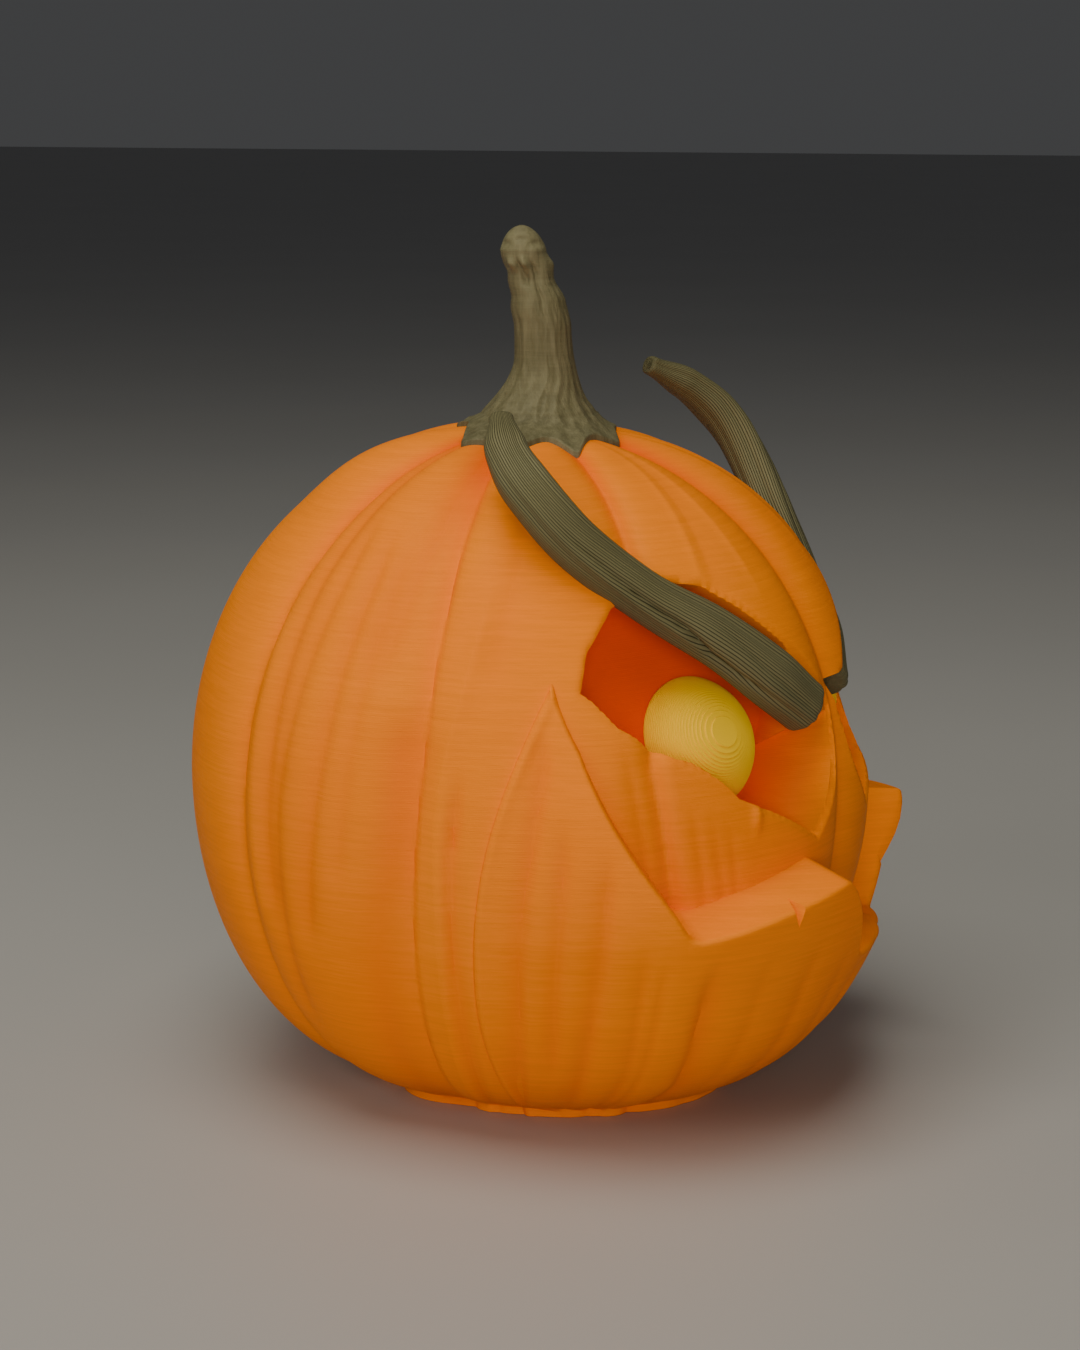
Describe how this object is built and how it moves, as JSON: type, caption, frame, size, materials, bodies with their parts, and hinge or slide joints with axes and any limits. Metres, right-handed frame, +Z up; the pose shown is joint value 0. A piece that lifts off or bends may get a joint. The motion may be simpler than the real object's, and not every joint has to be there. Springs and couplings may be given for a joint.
{
  "type": "carved pumpkin lantern",
  "caption": "Printed plastic pumpkin ornament with a carved scowling face, jutting jaw with teeth, domed eyes, brows and a stem.",
  "frame": {"origin": "centre of the body's axis on the flat underside", "axes": "+Z up along the body's axis, -Y out of the face, -X towards the object's own right side"},
  "size_m": [0.1008, 0.1071, 0.127],
  "materials": {
    "orange_plastic": "printed in fine layers, satin",
    "stem_plastic": "printed in fine layers, matt",
    "olive_plastic": "printed in fine layers, matt",
    "yellow_plastic": "printed in fine layers, satin"
  },
  "bodies": {
    "root": {"pumpkin_body": "orange_plastic", "stem": "stem_plastic", "brow_right": "olive_plastic", "brow_left": "olive_plastic", "eye_right": "yellow_plastic", "eye_left": "yellow_plastic"}
  },
  "joints": []
}
